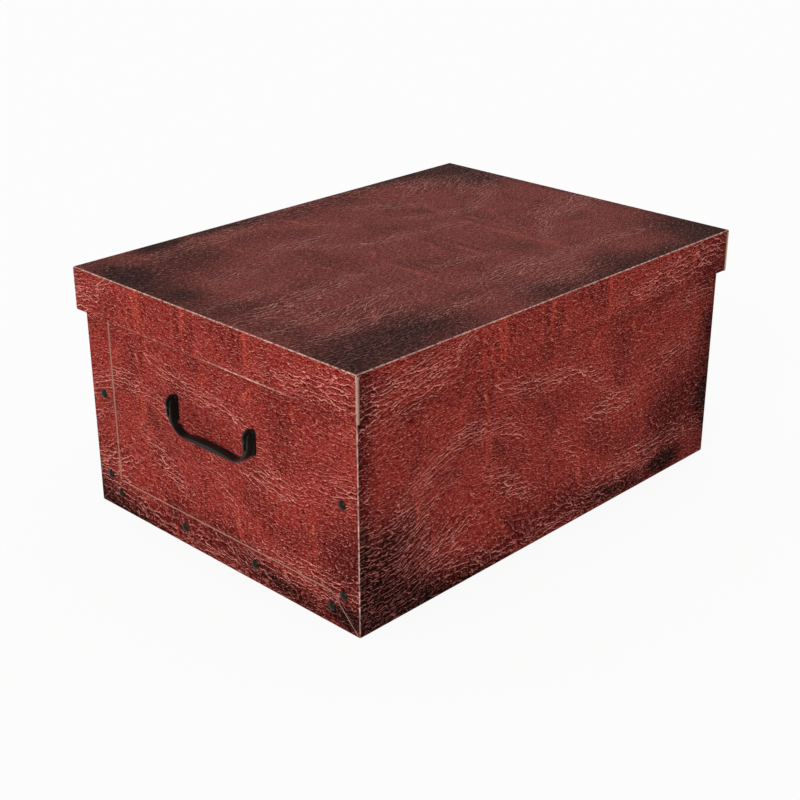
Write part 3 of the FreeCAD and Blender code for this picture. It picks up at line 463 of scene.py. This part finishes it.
def buildPlastic(name, look, kind):
    # Injection-moulded black plastic: near-black with a faint uneven gloss from handling
    made, tree = newMaterial(name)
    coordinates = tree.nodes.new("ShaderNodeTexCoord")
    place = addNode(tree, "VectorMath", {0: coordinates.outputs["Object"], "Scale": mmPerMetre}, operation="SCALE")
    texture = addNode(tree, "TexNoise", {"Vector": place, "Scale": 1 / kind["texture"], "Detail": 2.0})
    rubbed = addNode(tree, "TexNoise", {"Vector": place, "Scale": 1 / look["rubbed"], "Detail": 3.0})
    lift = addNode(tree, "MapRange", dict(zip(rampSockets, look["rubbedSpan"] + look["lift"]), Value=rubbed))
    colour = addNode(tree, "HueSaturation", {"Color": toLinear(kind["colour"]), "Value": lift})
    gloss = tuple(kind["roughness"] + change for change in look["gloss"])
    roughness = addNode(tree, "MapRange", dict(zip(rampSockets, look["rubbedSpan"] + gloss), Value=rubbed))
    bump = addNode(tree, "Bump", {"Strength": look["bumpStrength"], "Distance": kind["depth"], "Height": texture})
    shader = addNode(tree, "BsdfPrincipled", {"Base Color": colour, "Roughness": roughness, "Normal": bump,
                                              "IOR": look["ior"], "Specular IOR Level": look["specular"],
                                              "Specular Tint": toLinear(look["tint"])})
    addNode(tree, "OutputMaterial", {"Surface": shader})
    return made


for materialName, kind in plasticLook["kinds"].items():
    made = buildPlastic(materialName, plasticLook, kind)
    for nodeName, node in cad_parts.items():
        if nodeName.startswith(kind["nodes"]):
            for slot in node.material_slots:
                slot.material = made
print("plastics done")


# Floor and lights, in metres. Each light is a broad sun, named for where it stands.
studio = {
    "floorHalf": 30.0, "floorColour": "#f2f2f1", "floorGlow": 1.0, "glowShare": 0.90, "worldLight": 0.40,
    "lights": {
        "key": {"energy": 2.05, "standsAt": (0.36, -0.88, 0.30), "angle": 55},
        "top": {"energy": 0.9, "standsAt": (-0.15, -0.10, 1.0), "angle": 70},
    },
}


def addSeenRays(tree):
    # 1 for what the camera sees, straight or in a shine or through glass, and 0 for lighting
    rays = tree.nodes.new("ShaderNodeLightPath").outputs
    seen = addNode(tree, "Math", {0: rays["Is Camera Ray"], 1: rays["Is Glossy Ray"]}, operation="ADD")
    return addNode(tree, "Math", {0: seen, 1: rays["Is Transmission Ray"]}, operation="ADD", use_clamp=True)


def buildStudio(look):
    # The floor lies on z = 0, at the box's underside. It glows pale where it is seen, and the rest
    # is paint, which keeps a soft shadow.
    half = look["floorHalf"]
    mesh = bpy.data.meshes.new("floor")
    mesh.from_pydata([(-half, -half, 0), (half, -half, 0), (half, half, 0), (-half, half, 0)], [], [(0, 1, 2, 3)])
    floor = bpy.data.objects.new("floor", mesh)
    bpy.context.scene.collection.objects.link(floor)
    made, tree = newMaterial("paleFloor")
    seen = addSeenRays(tree)
    paint = addNode(tree, "BsdfDiffuse", {"Color": toLinear(look["floorColour"])})
    glow = addNode(tree, "Emission", {"Color": (1, 1, 1, 1), "Strength": look["floorGlow"]})
    share = addNode(tree, "Math", {0: seen, 1: look["glowShare"]}, operation="MULTIPLY")
    mixed = addNode(tree, "MixShader", {0: share, 1: paint, 2: glow})
    addNode(tree, "OutputMaterial", {"Surface": mixed})
    mesh.materials.append(made)

    world = bpy.data.worlds.new("studioWorld")
    bpy.context.scene.world = world
    world.use_nodes = True
    tree = world.node_tree
    tree.nodes.clear()
    seen = addSeenRays(tree)
    strength = addNode(tree, "MapRange", {"Value": seen, "To Min": look["worldLight"], "To Max": 1.0})
    sky = addNode(tree, "Background", {"Color": (1, 1, 1, 1), "Strength": strength})
    addNode(tree, "OutputWorld", {"Surface": sky})

    for name, light in look["lights"].items():
        lamp = bpy.data.lights.new(name + "Light", "SUN")
        lamp.energy = light["energy"]
        lamp.angle = radians(light["angle"])
        lampObject = bpy.data.objects.new(name + "Light", lamp)
        bpy.context.scene.collection.objects.link(lampObject)
        lampObject.rotation_euler = Vector(light["standsAt"]).to_track_quat("Z", "Y").to_euler()


# The camera was solved from the photograph's corners: turned, raised and rolled in degrees, placed
# in metres
cameraLook = {"turn": 44.230, "rise": 23.803, "roll": -0.129, "place": (0.92615, -0.96876, 0.67270),
              "lens": 66.43, "sensor": 36.0, "clip": (0.05, 200.0)}


def buildCamera(look):
    # back points from the object to the camera, and right and up are turned by the roll
    turn, rise, roll = (radians(look[key]) for key in ("turn", "rise", "roll"))
    back = Vector((sin(turn) * cos(rise), -cos(turn) * cos(rise), sin(rise)))
    right = Vector((0, 0, 1)).cross(back).normalized()
    up = back.cross(right)
    rolledRight = right * cos(roll) + up * sin(roll)
    rolledUp = up * cos(roll) - right * sin(roll)
    seat = Matrix((rolledRight, rolledUp, back)).transposed().to_4x4()
    seat.translation = look["place"]
    camera = bpy.data.cameras.new("photoCamera")
    camera.lens, camera.sensor_width = look["lens"], look["sensor"]
    camera.clip_start, camera.clip_end = look["clip"]
    cameraObject = bpy.data.objects.new("photoCamera", camera)
    bpy.context.scene.collection.objects.link(cameraObject)
    cameraObject.matrix_world = seat
    bpy.context.scene.camera = cameraObject


buildStudio(studio)
buildCamera(cameraLook)
bpy.context.scene.view_settings.view_transform = "Standard"
print("studio and camera set")
